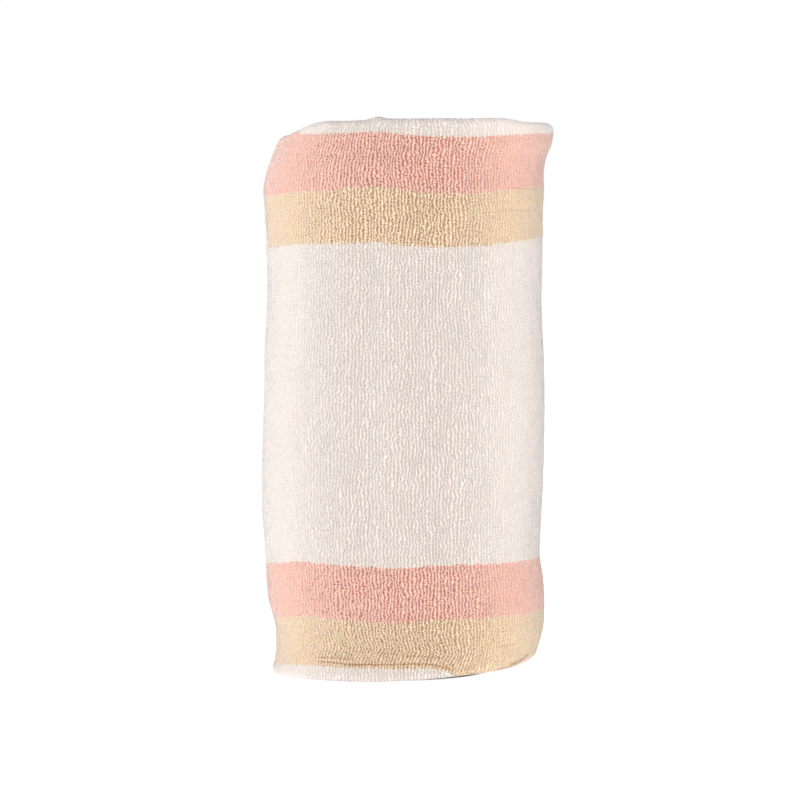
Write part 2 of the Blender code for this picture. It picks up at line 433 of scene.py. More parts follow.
# %% [markdown]
# ## Columns and stations of the mesh
#
# Terry that is pressed and washed lines its loops up in ribs, here about 1.9 mm apart. On the outermost
# turn each rib gets two columns of the mesh, one on its crest and one in the valley beside it, so the ribs
# are real relief. Under it nothing of that shows, so the inner turns and the cloth's back have far fewer
# columns. A face whose neighbour is finer takes the neighbour's extra points.

# %% Columns along the strip
RIB_PITCH = 0.0019
COARSE_STEP = 8
ROUNDING_COLUMNS = 3
INNER_COLUMNS_PER_TURN = 36
OUTERMOST_START = TURNS - 1.035

outermost_start = length_at(OUTERMOST_START)
fine_count = COARSE_STEP * round((cloth_length - outermost_start) / (RIB_PITCH / 2) / COARSE_STEP)
first_fine = round((OUTERMOST_START - CORE_START) * INNER_COLUMNS_PER_TURN)
column_lengths = np.concatenate([
    length_at(np.linspace(CORE_START, OUTERMOST_START, first_fine, endpoint=False)),
    np.linspace(outermost_start, cloth_length, fine_count + 1),
])
column_count = len(column_lengths)
fine_columns = np.arange(first_fine, column_count)
print("columns:", column_count, "and on the outermost turn:", len(fine_columns))

# %% [markdown]
# The stations come in three kinds. Some go through the whole strip, core to end. On the outermost turn the
# plies under the surface also need a row at each height of the shape's table, or they would run straight
# past a hollow of it and poke through the outer ply. The rows that carry the ribs are on its outer face
# alone.

# %% Stations across the cloth
FINE_ROWS = 140
RIBBED_FROM = {"base fold": 0.4, "outer": 0.0, "top fold": 0.0}
WHOLE_SHARES = {
    "middle": (0.0, 0.0045, 0.4, 0.8),
    "base fold": (0.0, 0.2, 0.4, 0.6, 0.8),
    "outer": tuple(row / FINE_ROWS for row in (0, 7, 42, 84, 126, 136)),
    "top fold": (0.0, 0.12, 0.26, 0.42, 0.58, 0.74, 0.88),
    "inner": (0.0, 0.03, 0.4, 0.8, 0.9955, 1.0),
}
RIB_SHARES = {
    "base fold": (0.5, 0.7, 0.9),
    "outer": tuple(row / FINE_ROWS for row in range(1, FINE_ROWS)),
    "top fold": (0.06, 0.19, 0.34, 0.50),
}


def in_order(stations):
    return sorted(set(stations), key=lambda station: (PANELS.index(station.panel), station.share))


def table_stations():
    """Stations at the heights of the shape's table, in each of the three plies."""
    foot, head = BASE_RISE + PLY_HALF_HEIGHT, SECTIONS[-1].height - TOP_RISE - PLY_HALF_HEIGHT
    for row in SECTIONS:
        if foot < row.height < head:
            share = round((row.height - foot) / (head - foot) * FINE_ROWS) / FINE_ROWS
            yield from (Station("middle", 1 - share), Station("outer", share), Station("inner", 1 - share))


whole_stations = in_order(Station(panel, share) for panel in PANELS for share in WHOLE_SHARES[panel])
back_stations = in_order([*whole_stations, *table_stations()])
rib_stations = in_order(Station(panel, share) for panel in RIB_SHARES for share in RIB_SHARES[panel])
face_stations = in_order([*back_stations, *rib_stations])
ribbed_stations = [
    station for station in face_stations if station.share >= RIBBED_FROM.get(station.panel, math.inf)
]
print("stations on the face:", len(face_stations), "of them ribbed:", len(ribbed_stations))

# %% [markdown]
# ## Unevenness, placed one by one
#
# The ribs wander, lean and break up, and the cloth has soft dents and a few creases. The larger ones are
# placed where the picture has them, in short tables of their own sizes. The small ones come from smooth
# random numbers with fixed seeds, so the towel is the same each time.

# %% Smooth random numbers
NOISE_CELLS = 512


def soft_noise(seed, across, along):
    """Smooth random numbers from -1 to 1 over a plane whose cells are one unit wide."""
    grid = np.random.default_rng(seed).uniform(-1, 1, (NOISE_CELLS, NOISE_CELLS))
    column, row = np.floor(across).astype(int), np.floor(along).astype(int)
    right, up = blend(across - column), blend(along - row)
    left, low = column % NOISE_CELLS, row % NOISE_CELLS
    next_left, next_low = (left + 1) % NOISE_CELLS, (low + 1) % NOISE_CELLS
    lower = grid[low, left] * (1 - right) + grid[low, next_left] * right
    upper = grid[next_low, left] * (1 - right) + grid[next_low, next_left] * right
    return lower * (1 - up) + upper * up


print("a smooth random number:", round(float(soft_noise(1, np.array(3.3), np.array(8.6))), 3))

# %% [markdown]
# A rib is a column of loops, and it never runs quite straight. Three sizes of noise carry it sideways, and a
# few places on the front, where the ribs of the real towel bend into chevrons, get a shift of their own.

# %% Where ribs wander and lean
Wander = namedtuple("Wander", "seed cell_along cell_across reach")
WANDERS = (
    Wander(11, 0.0110, 0.0130, 0.00060),
    Wander(12, 0.0052, 0.0062, 0.00042),
    Wander(13, 0.0030, 0.0034, 0.00022),
)
Lean = namedtuple("Lean", "x height half_width half_height shift")
LEANS = (
    Lean(-0.030, 0.0190, 0.034, 0.0048, 0.0030),
    Lean(0.020, 0.0160, 0.026, 0.0048, 0.0024),
    Lean(0.000, 0.2460, 0.050, 0.0080, 0.0009),
    Lean(-0.022, 0.0440, 0.022, 0.0080, 0.0008),
    Lean(0.012, 0.2750, 0.030, 0.0070, -0.0008),
)
FRONT_EASE = 0.01


def facing_front(y):
    """1 on the roll's front and 0 on its back."""
    return blend(-y / FRONT_EASE)


def rib_shift(length, x, height, front):
    """How far along the strip a point of a rib is carried sideways."""
    shift = 0.0
    for wander in WANDERS:
        noise = soft_noise(wander.seed, length / wander.cell_along, height / wander.cell_across)
        shift = shift + wander.reach * noise
    for lean in LEANS:
        across = (x - lean.x) / lean.half_width
        along = (height - lean.height) / lean.half_height
        shift = shift + lean.shift * np.exp(-across * across - along * along) * front
    return shift


print("largest wander of a rib, mm:", round(1000 * sum(wander.reach for wander in WANDERS), 2))

# %% [markdown]
# A cloth simulation would make creases too, but not where the picture has them. Each is a soft trough along
# a line between two points of the front instead: `sag` bows the line, `depth` dips the mesh, and `dark` is
# how strongly the crease's shade is painted along the line later.

# %% Creases
CREASE_RUN_OUT = 0.010
CREASE_HALF_WIDTH = 0.0016
Crease = namedtuple("Crease", "x_from height_from x_to height_to sag depth dark")
CREASES = (
    Crease(-0.0486, 0.0128, -0.0290, 0.0126, 0.0002, 0.00010, 0.75),
    Crease(-0.0469, 0.0106, -0.0200, 0.0101, -0.0003, 0.00035, 0.85),
    Crease(-0.0347, 0.0091, -0.0020, 0.0102, 0.0004, 0.00020, 0.95),
    Crease(-0.0041, 0.0103, 0.0234, 0.0071, 0.0004, 0.00040, 1.00),
    Crease(-0.0168, 0.0161, -0.0020, 0.0153, 0.0002, 0.00010, 0.55),
    Crease(-0.0020, 0.0143, 0.0197, 0.0127, 0.0003, 0.00010, 0.45),
    Crease(0.0463, 0.0184, 0.0580, 0.0190, -0.0003, 0.00020, 0.35),
    Crease(0.0470, 0.0066, 0.0665, 0.0122, -0.0008, 0.00000, 0.80),
    Crease(0.0517, 0.2626, 0.0700, 0.2615, 0.0004, 0.00040, 0.30),
    Crease(0.0490, 0.2509, 0.0700, 0.2505, 0.0003, 0.00030, 0.25),
)


def crease_depth(x, height, front):
    depth = 0.0
    for crease in CREASES:
        along = (x - crease.x_from) / (crease.x_to - crease.x_from)
        inside = np.clip(along, 0, 1)
        line = crease.height_from + (crease.height_to - crease.height_from) * inside
        line = line + crease.sag * 4 * inside * (1 - inside)
        beyond = np.maximum(crease.x_from - x, x - crease.x_to)
        run_out = blend(-beyond / CREASE_RUN_OUT)
        across = (height - line) / CREASE_HALF_WIDTH
        depth = depth + crease.depth * np.exp(-across * across) * run_out
    return depth * front


print("creases placed by hand:", len(CREASES))

# %% [markdown]
# Between the creases the cloth is never flat. Noise of three sizes, from a few fingers' width down to a few
# ribs, keeps the light on it uneven.

# %% Dents
Dent = namedtuple("Dent", "seed cell_along cell_across depth")
DENTS = (
    Dent(21, 0.045, 0.055, 0.00055),
    Dent(22, 0.018, 0.022, 0.00030),
    Dent(23, 0.0075, 0.0060, 0.00016),
)


def dents(length, height):
    depth = 0.0
    for dent in DENTS:
        noise = soft_noise(dent.seed, length / dent.cell_along, height / dent.cell_across)
        depth = depth + dent.depth * noise
    return depth


print("deepest dent, mm:", round(1000 * sum(dent.depth for dent in DENTS), 2))

# %% [markdown]
# The stripes are woven straight, but the cloth isn't wound quite straight: on the far left most of them
# hang up to 4 mm low. This table says how far each boundary between two stripes hangs down, in
# millimetres, once round the roll. A negative number is a boundary that has slipped up.

# %% How the stripes drift round the roll
DRIFT_HEIGHTS = (0.0069, 0.0336, 0.0618, 0.1500, 0.2332, 0.2624, 0.2907)
Drift = namedtuple("Drift", "angle foot low_sand low_pink middle high_sand high_pink crest")
DRIFTS = (
    Drift(-180, 1.0, 3.6, 3.4, 3.4, 3.8, 4.0, -3.0),
    Drift(-166, -0.4, 2.8, 1.4, 2.8, 3.7, 4.1, -5.0),
    Drift(-150, -1.8, 1.3, -0.4, 1.9, 2.6, 3.2, -1.4),
    Drift(-134, -3.0, -1.0, -1.7, 0.8, 1.0, 1.9, -0.4),
    Drift(-118, -3.0, 0.0, -1.1, 0.0, 1.0, 1.1, -0.6),
    Drift(-100, -2.8, 1.0, -0.1, 0.2, 0.3, -0.9, -1.4),
    Drift(-92, -2.7, 1.4, 0.4, 0.5, 1.4, 0.5, -0.3),
    Drift(-80, -2.7, -0.1, -0.7, 0.3, 2.8, 2.5, 1.0),
    Drift(-66, 0.6, -0.6, -1.3, -0.1, 2.4, 3.0, 1.0),
    Drift(-51, 1.6, -1.0, -1.3, -0.5, 1.3, 1.2, 0.2),
    Drift(-32, 1.4, -0.9, -1.3, -1.4, -0.6, -0.4, -1.0),
    Drift(-12, 1.6, -2.4, -1.7, -2.0, -2.2, -1.8, -1.4),
    Drift(45, 1.0, -1.0, -0.6, -0.8, -1.6, -1.0, -1.6),
    Drift(100, 0.8, 0.8, 0.6, 0.8, 0.6, 0.8, -0.4),
    Drift(145, 1.4, 2.8, 2.4, 2.4, 2.2, 2.0, 0.8),
)
MM_PER_METRE = 1000


def stripe_drift(angle, height):
    """How far the cloth has slipped across its width at a place on the outer face."""
    by_height = [round_roll(DRIFTS, name, angle) for name in Drift._fields[1:]]
    total = 0.0
    for i, middle in enumerate(DRIFT_HEIGHTS):
        peak = np.zeros(len(DRIFT_HEIGHTS))
        peak[i] = 1.0
        total = total + by_height[i] * through(DRIFT_HEIGHTS, peak, height)
    return total / MM_PER_METRE


front_drift = float(stripe_drift(math.radians(-90), 0.25))
print("drift high on the front, mm:", round(MM_PER_METRE * front_drift, 2))

# %% [markdown]
# ## Placing the points
#
# Every point has a place and five measures that the finish reads later: its length along the towel, its
# width across it, the number of its rib, how much of it is hem, and how taut the cloth is there, which is
# also how much painted side light its colour gets. The rib number runs on in whole steps from crest to
# crest, wherever the rib wanders.

# %% Ribs and hem as relief
RIB_HEIGHT = 0.00036
RIB_BREAK_CELL = 0.0030
Breaks = namedtuple("Breaks", "seed cells_per_rib least gain")
PEAK_BREAKS = Breaks(31, 7.37, 0.25, 1.3)
VALLEY_BREAKS = Breaks(32, 5.91, 0.20, 1.4)
HEM_WIDTH = 0.017
HEM_EASE = 0.0012
HEM_RISE = 0.0004
STITCH_FROM_EDGE = 0.0150
STITCH_HALF_WIDTH = 0.0008
STITCH_DEPTH = 0.0008
RIB_FADE = 0.012
TAUT_FROM, TAUT_FULL = 0.20, 0.85
TAUT_TURNED = math.radians(4)
TAUT_FLATTENS = 0.6

rib_number = (column_lengths - outermost_start) / RIB_PITCH
on_crest = np.where(np.arange(column_count) % 2 == first_fine % 2, 1.0, -1.0)


def hem_share(length):
    """1 on the hem at the strip's outer end, 0 on the open cloth."""
    return blend((length - (cloth_length - HEM_WIDTH)) / HEM_EASE)


def unbroken(breaks, rib, width):
    """Share of the full relief at each place of a rib, never less than the least."""
    noise = soft_noise(breaks.seed, rib * breaks.cells_per_rib, width / RIB_BREAK_CELL) * 0.5 + 0.5
    return breaks.least + (1 - breaks.least) * blend(noise * breaks.gain)


def rib_relief(column, width):
    """Height of the ribs over the cloth: crests rise and valleys sink unevenly along each rib."""
    rib = np.floor((column - first_fine) / 2)
    up, down = unbroken(PEAK_BREAKS, rib, width), unbroken(VALLEY_BREAKS, rib, width)
    return RIB_HEIGHT * np.where(on_crest[column] > 0, up, -down)


def hem_relief(length):
    """The hem is the same cloth turned under, so it stands a little proud, with its stitching sunk in."""
    groove = (cloth_length - length - STITCH_FROM_EDGE) / STITCH_HALF_WIDTH
    return HEM_RISE - STITCH_DEPTH * np.exp(-groove * groove)


print("rib relief crest to valley, mm:", round(2000 * RIB_HEIGHT, 2))

# %% [markdown]
# A row runs along the towel at one station. A plain row is placed straight from the winding. A ribbed one
# is placed twice: once to learn where on the roll each point lies, and once more with the sideways shift
# that its place calls for.

# %% Points of one row
Row = namedtuple("Row", "station whole indices")
Points = namedtuple("Points", "places measures")


def tautness_and_side_light(angle):
    """1 at the tight bends of the two sides, where the loops are pulled flat, and 0 up the middle of the
    front and of the back. The finish also paints the washed-out light of the sides from it. The front's full
    ribs lie a few degrees left of its middle."""
    return blend((np.abs(np.cos(angle + TAUT_TURNED)) - TAUT_FROM) / (TAUT_FULL - TAUT_FROM))


def row_points(station, face, wanted, shift=0.0):
    """Places and measures of a row at the wanted columns, each carried along the strip by the shift."""
    length = column_lengths[wanted]
    turn = turn_at(length + shift)
    end_round = edge_thickness(cloth_length - length) * edge_thickness(length + EDGE_ROUND)
    depth, height, width = section(station, face, turn, end_round)
    outermost = 1 - beneath(turn)
    width = width + stripe_drift(angle_of(turn), np.clip(height, 0, INNER_TOP)) * outermost
    taut_side_light = tautness_and_side_light(angle_of(turn)) * outermost
    measures = np.stack([length + shift, width, rib_number[wanted], hem_share(length), taut_side_light], axis=-1)
    return Points(wound(turn, depth, height) + axis_shift, measures)


def ribbed_points():
    """The rows of the outermost turn's outer face, their ribs wandering but not yet raised."""
    straight = column_lengths[fine_columns]
    from_start, from_end = straight - outermost_start, cloth_length - straight
    fade = blend(from_start / RIB_FADE) * blend(from_end / HEM_WIDTH)
    rows = []
    for station in ribbed_stations:
        x, y, height = row_points(station, 1, fine_columns).places.T
        shift = rib_shift(straight, x, height, facing_front(y)) * fade
        rows.append(row_points(station, 1, fine_columns, shift))
    return Points(*(np.array(part) for part in zip(*rows)))


print("length of the outermost turn, m:", round(cloth_length - outermost_start, 3))

# %% [markdown]
# A Displace modifier could raise the ribs from a texture, but it can't tell a crest's column from a
# valley's. Here each point moves along its own normal, which is worked out from its neighbours in the grid
# of rows and columns. At the two folds the relief is pressed flat.

# %% Raising the ribs
LEAST_HEIGHT = 0.0002
BASE_PRESSED_ROWS = 0.03
TOP_PRESSED_ROWS = 0.05


def raised(points):
    """The ribbed rows moved along their own normals by ribs, dents, creases and hem."""
    along, across = np.gradient(points.places, axis=1), np.gradient(points.places, axis=0)
    normals = np.cross(along, across)
    normals /= np.linalg.norm(normals, axis=2, keepdims=True)
    x, y, height = np.moveaxis(points.places, 2, 0)
    length, width, _, hem, taut_side_light = np.moveaxis(points.measures, 2, 0)
    rows = np.linspace(0, 1, len(ribbed_stations))[:, None]
    ends = blend(rows / BASE_PRESSED_ROWS) * blend((1 - rows) / TOP_PRESSED_ROWS)
    start = blend((length - outermost_start) / RIB_FADE)
    relief = rib_relief(np.broadcast_to(fine_columns, length.shape), width)
    relief = relief * (1 - hem) * (1 - TAUT_FLATTENS * taut_side_light)
    relief = relief + dents(length, height) - crease_depth(x, height, facing_front(y))
    relief = relief * start + hem_relief(length) * hem
    places = points.places + normals * (relief * ends)[:, :, None]
    places[:, :, 2] = np.maximum(places[:, :, 2], LEAST_HEIGHT)
    return Points(places, points.measures)


ribbed = raised(ribbed_points())
print("points on the ribbed face:", ribbed.places.shape[0] * ribbed.places.shape[1])

# %% [markdown]
# ## Joining the points into a closed sheet
#
# The rows go once round the cloth: up the outer face from one free edge to the other, and back down the
# other face. `between` fills the space between two rows. Where one row has more points than its neighbour
# the faces there simply have more corners, so the mesh stays closed without any loose joins.

# %% Rows round the cloth
vertex_places, vertex_measures = [], []


def add_points(places, measures):
    first = len(vertex_places)
    vertex_places.extend(places.tolist())
    vertex_measures.extend(measures.tolist())
    return np.arange(first, first + len(places))


def make_row(station, face):
    """One row of the mesh. Its indices are -1 at the columns that it skips."""
    indices = np.full(column_count, -1)
    whole = station in whole_stations
    wanted = np.arange(first_fine if whole else 0)
    if face > 0 and station in ribbed_stations:
        row = ribbed_stations.index(station)
        indices[fine_columns] = add_points(ribbed.places[row], ribbed.measures[row])
    else:
        wanted = np.concatenate([wanted, fine_columns[::COARSE_STEP], fine_columns[-ROUNDING_COLUMNS:-1]])
    indices[wanted] = add_points(*row_points(station, face, wanted))
    return Row(station, whole, indices)


face_rows = [make_row(station, 1) for station in face_stations]
back_rows = [make_row(station, -1) for station in back_stations]
loop = face_rows + back_rows[::-1]
print("points in all:", len(vertex_places))

# %% [markdown]
# Between two rows the faces run from one shared column to the next. At the joint of the coarse turns and the
# outermost one, a single face takes in all the corners of the finer side.

# %% Faces between the rows
cloth_faces = []


def between(lower, upper, start, stop):
    """Faces from one row to the next, with a corner at every point of either."""
    shared = [column for column in range(start, stop) if lower[column] >= 0 and upper[column] >= 0]
    for left, right in zip(shared, shared[1:]):
        near = [index for index in lower[left : right + 1] if index >= 0]
        far = [index for index in upper[left : right + 1] if index >= 0]
        cloth_faces.append(near + far[::-1])


for lower, upper in zip(loop, loop[1:] + loop[:1]):
    between(lower.indices, upper.indices, first_fine, column_count)

whole_rows = [place for place, row in enumerate(loop) if row.whole]
for near, far in zip(whole_rows, whole_rows[1:] + [whole_rows[0] + len(loop)]):
    lower, upper = loop[near].indices, loop[far % len(loop)].indices
    between(lower, upper, 0, first_fine)
    joint = [loop[place % len(loop)].indices[first_fine] for place in range(near, far + 1)]
    cloth_faces.append([lower[first_fine - 1], *joint, upper[first_fine - 1]])
print("faces round the cloth:", len(cloth_faces))


# %% [markdown]
# At both ends of the strip a row of small faces joins the cloth's outer face to its back, so the sheet is
# closed all round.

# %% Faces at the two ends of the strip
def end_cap(column, outwards):
    """Closes the sheet's thickness at one end of the strip."""
    back = {row.station: row.indices[column] for row in back_rows if row.indices[column] >= 0}
    face = [(row.station, row.indices[column]) for row in face_rows if row.indices[column] >= 0]
    marks = [place for place, (station, _) in enumerate(face) if station in back]
    for near, far in zip(marks, marks[1:]):
        corners = [index for _, index in face[near : far + 1]]
        corners += [back[face[far][0]], back[face[near][0]]]
        cloth_faces.append(corners if outwards else corners[::-1])


end_cap(0, False)
end_cap(column_count - 1, True)
print("faces in all:", len(cloth_faces))

# %% [markdown]
# The five measures are stored on the points. A UV map could hold two of them, but named attributes hold all
# five, and the finish can read them by name.

# %% The cloth as an object
MEASURES = ("along", "across", "rib", "hem", "taut_side_light")

cloth_mesh = bpy.data.meshes.new("towel_cloth")
cloth_mesh.from_pydata(vertex_places, [], cloth_faces)
for i, name in enumerate(MEASURES):
    attribute = cloth_mesh.attributes.new(name, "FLOAT", "POINT")
    attribute.data.foreach_set("value", np.array(vertex_measures)[:, i].astype(np.float32))
cloth_mesh.shade_smooth()
cloth_mesh.update()
cloth = bpy.data.objects.new("towel_cloth", cloth_mesh)
bpy.context.scene.collection.objects.link(cloth)
cloth_mesh.calc_loop_triangles()
print("triangles:", len(cloth_mesh.loop_triangles))

# %% [markdown]
# ## Writing a finish
#
# A material is a graph of nodes, and so is the world. `Wire` stands for one socket's output and turns
# Python's operators into Math nodes, so that a mask reads like a formula. `Graph` makes every other node
# with one call: its type, its settings, then what goes into its sockets.

# %% Wires and graphs
class Wire:
    """A number that varies over a surface."""

    def __init__(self, graph, socket):
        self.graph, self.socket = graph, socket

    def math(self, operation, *others):
        return self.graph.node("ShaderNodeMath", {"operation": operation}, (self, *others))

    def __add__(self, other):
        return self.math("ADD", other)

    def __sub__(self, other):
        return self.math("SUBTRACT", other)

    def __rsub__(self, other):
        return self.graph.node("ShaderNodeMath", {"operation": "SUBTRACT"}, (other, self))

    def __mul__(self, other):
        return self.math("MULTIPLY", other)

    def __truediv__(self, other):
        return self.math("DIVIDE", other)

    def __mod__(self, other):
        return self.math("FLOORED_MODULO", other)

    __radd__, __rmul__ = __add__, __mul__


class Graph:
    """A tree of nodes, of a material or of the world."""

    def __init__(self, owner):
        owner.use_nodes = True
        self.owner, self.tree = owner, owner.node_tree

    def node(self, kind, settings=None, sockets=(), output=0):
        made = self.tree.nodes.new(kind)
        for name, value in (settings or {}).items():
            setattr(made, name, value)
        named = sockets.items() if isinstance(sockets, dict) else enumerate(sockets)
        for key, value in named:
            self.feed(made.inputs[key], value)
        return Wire(self, made.outputs[output])

    def feed(self, socket, value):
        if isinstance(value, Wire):
            self.tree.links.new(value.socket, socket)
        else:
            socket.default_value = value


print("operators on a wire:", "+ - * / %")

# %% [markdown]
# Four more nodes come up again and again: a number stored on the cloth's points, a soft step, a colour
# between two others, and noise. Each gets a short method of its own.

# %% Nodes with names of their own
class Finish(Graph):
    """A material, with its Principled shader."""

    def __init__(self, name):
        super().__init__(bpy.data.materials.new(name))
        self.shader = self.tree.nodes["Principled BSDF"]

    def measure(self, name):
        """One of the numbers stored on the cloth's points."""
        return self.node("ShaderNodeAttribute", {"attribute_name": name}, output="Fac")

    def step(self, value, edge, softness):
        """0 below an edge and 1 above it, with a soft change."""
        sockets = {"Value": value, "From Min": edge - softness, "From Max": edge + softness}
        return self.node("ShaderNodeMapRange", {"interpolation_type": "SMOOTHSTEP"}, sockets)

    def within(self, value, start, stop, softness):
        """1 between two edges and 0 outside them."""
        return self.step(value, start, softness) - self.step(value, stop, softness)

    def mix(self, factor, first, second):
        """A colour between two colours. The Mix node's colour sockets are its seventh and eighth."""
        return self.node("ShaderNodeMix", {"data_type": "RGBA"}, {0: factor, 6: first, 7: second}, output=2)

    def noise(self, x, y, z, detail):
        """Noise about 0, whose cells are one unit of x and y wide."""
        place = self.node("ShaderNodeCombineXYZ", None, (x, y, z))
        sockets = {"Vector": place, "Scale": 1.0, "Detail": detail, "Roughness": 0.6}
        return self.node("ShaderNodeTexNoise", {"noise_dimensions": "3D"}, sockets) - 0.5

    def set(self, **values):
        """Puts constants on the shader's own sockets, with their names in small letters."""
        for name, value in values.items():
            self.shader.inputs[SOCKET_NAMES[name]].default_value = value


SOCKET_NAMES = {
    "colour": "Base Color",
    "roughness": "Roughness",
    "specular": "Specular IOR Level",
    "sheen": "Sheen Weight",
    "sheen_roughness": "Sheen Roughness",
    "sheen_tint": "Sheen Tint",
    "glow_strength": "Emission Strength",
}
print("shader sockets with short names:", len(SOCKET_NAMES))

# %% [markdown]
# ## The terry
#
# The stripes are woven in, so they keep their places across the towel wherever it folds. Those places are
# given in metres from one long edge. The pair of sand and pink comes again after one repeat.

# %% Where the stripes lie
STRIPE_REPEAT = 0.229
SAND_FROM, PINK_FROM, CREAM_FROM = 0.5332, 0.5624, 0.5907
cream_between = STRIPE_REPEAT - (CREAM_FROM - SAND_FROM)
print("cream between the coloured pairs, mm:", round(MM_PER_METRE * cream_between))

# %% [markdown]
# Each stripe is one colour of yarn, but its pile isn't lit evenly. The tips of the loops catch the light and
# look pale, and the gaps between them show yarn lit by yarn, which is darker and purer. A flat colour with a
# bump would keep those gaps as pale as the tips. So each stripe has a tip colour, which carries painted
# highlight, and a ground colour, which is painted shade, and a map of the pile mixes the two: the ribs' own
# profile, bent and broken up by noise that is from one loop to a few in size. Where the cloth is taut, and
# in the cream at the upper end, the map is calmer. On the taut sides it is also paler, which paints the
# washed-out light of the roll's sides.

# %% Map of the pile
Mottle = namedtuple("Mottle", "per_rib per_mm layer detail")
BENDS = Mottle(0.45, 0.30, 5.3, 1.5)
LOOPS = Mottle(2.00, 1.25, 0.0, 1.0)
GAPS = Mottle(0.90, 0.33, 3.7, 0.5)
BEND_REACH = 1.5
RIDGE_SHARE, LOOP_SHARE, GAP_SHARE = 0.48, 3.9, 0.55
# On the taut sides the colour is calmer and paler: painted light, the sides' wash-out.
SIDE_LIGHT_CALMS, SIDE_LIGHT_PALES = 0.72, 0.08
CREST_CALMS, CREST_EASE = 0.35, 0.002
PILE_MIDDLE = 0.63

terry = Finish("terry")
along, across = terry.measure("along"), terry.measure("across")
rib, hem, taut_side_light = terry.measure("rib"), terry.measure("hem"), terry.measure("taut_side_light")
across_mm = across * MM_PER_METRE


def mottle(kind, ribs):
    """Noise about 0 with so many cells to a rib, and so many to each millimetre along it."""
    return terry.noise(ribs * kind.per_rib, across_mm * kind.per_mm, kind.layer, kind.detail)


bent_rib = rib + mottle(BENDS, rib) * BEND_REACH
ridge = (bent_rib * (2 * math.pi)).math("COSINE")
loops, gaps = mottle(LOOPS, bent_rib), mottle(GAPS, bent_rib)
relief = ridge * RIDGE_SHARE + loops * LOOP_SHARE + gaps * GAP_SHARE
near_crest = terry.step(across, CREAM_FROM, CREST_EASE)
calmed = relief * (1 - taut_side_light * SIDE_LIGHT_CALMS) * (1 - near_crest * CREST_CALMS)
pile = calmed + taut_side_light * SIDE_LIGHT_PALES + PILE_MIDDLE
print("nodes in the map of the pile:", len(terry.tree.nodes))

# %% [markdown]
# The hem at the end of the towel is the cloth without its loops, folded under and stitched down. Its map
# is a fine plain weave with one row of stitches.

# %% Weave and stitches of the hem
WEAVE_PER_MM, WEAVE_SHARE = 1.1, 0.22
STITCH_LENGTH_MM, STITCH_HALF_MM, STITCH_EDGE_MM = 3.2, 0.45, 0.12
STITCH_FROM, STITCH_TO, STITCH_END = 0.11, 0.89, 0.07
STITCH_PALE, STITCH_DARK = 0.9, 0.6
HEM_TONE = 0.55

from_edge_mm = (cloth_length - along) * MM_PER_METRE
threads_up = (from_edge_mm * (2 * math.pi * WEAVE_PER_MM)).math("SINE")
threads_across = (across_mm * (2 * math.pi * WEAVE_PER_MM)).math("SINE")
seam_mm = STITCH_FROM_EDGE * MM_PER_METRE
seam = terry.within(from_edge_mm, seam_mm - STITCH_HALF_MM, seam_mm + STITCH_HALF_MM, STITCH_EDGE_MM)
stitch = terry.within((across_mm % STITCH_LENGTH_MM) / STITCH_LENGTH_MM, STITCH_FROM, STITCH_TO, STITCH_END)
sewn = seam * (stitch * STITCH_PALE - STITCH_DARK)
hem_map = threads_up * threads_across * WEAVE_SHARE + sewn + HEM_TONE
print("stitches up the hem:", round(MM_PER_METRE * STRIP_WIDTH / STITCH_LENGTH_MM))

# %% [markdown]
# A crease is thinner than the mesh's rows, so the mesh only dips softly there, and the shade inside it is
# painted into the map as a dark line. Its ends are given on the roll's front. `on_front` finds them on the
# cloth.

# %% Painted shade in the creases
FRONT_FROM, FRONT_TO, FRONT_STEPS = TURNS - 0.67, TURNS - 0.18, 400
CREASE_LINE_HALF, CREASE_LINE_EDGE = 0.00055, 0.7
CREASE_WOBBLE = 0.0014
CREASE_END, CREASE_TAPER = 0.03, 0.10
CREASE_LOOPS, CREASE_SHADE_TONE = 3.0, 0.8
WOBBLES = Mottle(0.55, 0.12, 2.2, 1.5)
Spot = namedtuple("Spot", "along across")

front_turns = np.linspace(FRONT_FROM, FRONT_TO, FRONT_STEPS)


def on_front(x, height):
    """Length along the towel and place across it of a point on the roll's front."""
    front = wound(front_turns, OUTER_PLY - PLY_HALF, height) + axis_shift
    turn = np.interp(x, front[:, 0], front_turns)
    drift = stripe_drift(angle_of(turn), height)
    return Spot(float(length_at(turn)), float(width_at(height, turn) + drift))


def painted_crease_shade(crease, wobble):
    start, stop = on_front(crease.x_from, crease.height_from), on_front(crease.x_to, crease.height_to)
    share = (along - start.along) / (stop.along - start.along)
    bow = share * (1 - share) * (4 * crease.sag)
    line = share * (stop.across - start.across) + start.across + bow + wobble
    away = ((across - line) / CREASE_LINE_HALF).math("ABSOLUTE")
    ends = terry.within(share, CREASE_END, 1 - CREASE_END, CREASE_TAPER)
    near = 1 - terry.step(away, CREASE_LINE_EDGE, CREASE_LINE_EDGE)
    return near * ends * (loops * CREASE_LOOPS + CREASE_SHADE_TONE) * crease.dark


wobble = mottle(WOBBLES, rib) * CREASE_WOBBLE
pile_with_crease_shade = pile + (hem_map - pile) * hem
for crease in CREASES:
    pile_with_crease_shade = pile_with_crease_shade - painted_crease_shade(crease, wobble)
pile_and_shade_map = terry.node("ShaderNodeClamp", None, {"Value": pile_with_crease_shade})
first_spot = on_front(CREASES[0].x_from, CREASES[0].height_from)
print("first crease starts on the cloth, m:", [round(value, 3) for value in first_spot])

# %% [markdown]
# The stripes run along the towel, so a place across it is all that a stripe's mask needs. Loops lean over
# the join of two colours, which makes every boundary ragged by about a loop's height.

# %% Stripes
STRIPE_SOFTNESS = 0.00045
RAGS = Mottle(1.30, 0.22, 9.1, 1.5)
RAG_REACH = 0.0034

# Tips: yarn colour with painted highlight. Grounds: painted shade between the loops.
CREAM_LIT_TIP, CREAM_SHADED_GROUND = (0.815, 0.725, 0.67, 1), (0.60, 0.50, 0.435, 1)
PINK_LIT_TIP, PINK_SHADED_GROUND = (0.90, 0.525, 0.415, 1), (0.45, 0.13, 0.09, 1)
SAND_LIT_TIP, SAND_SHADED_GROUND = (0.86, 0.64, 0.42, 1), (0.38, 0.20, 0.09, 1)

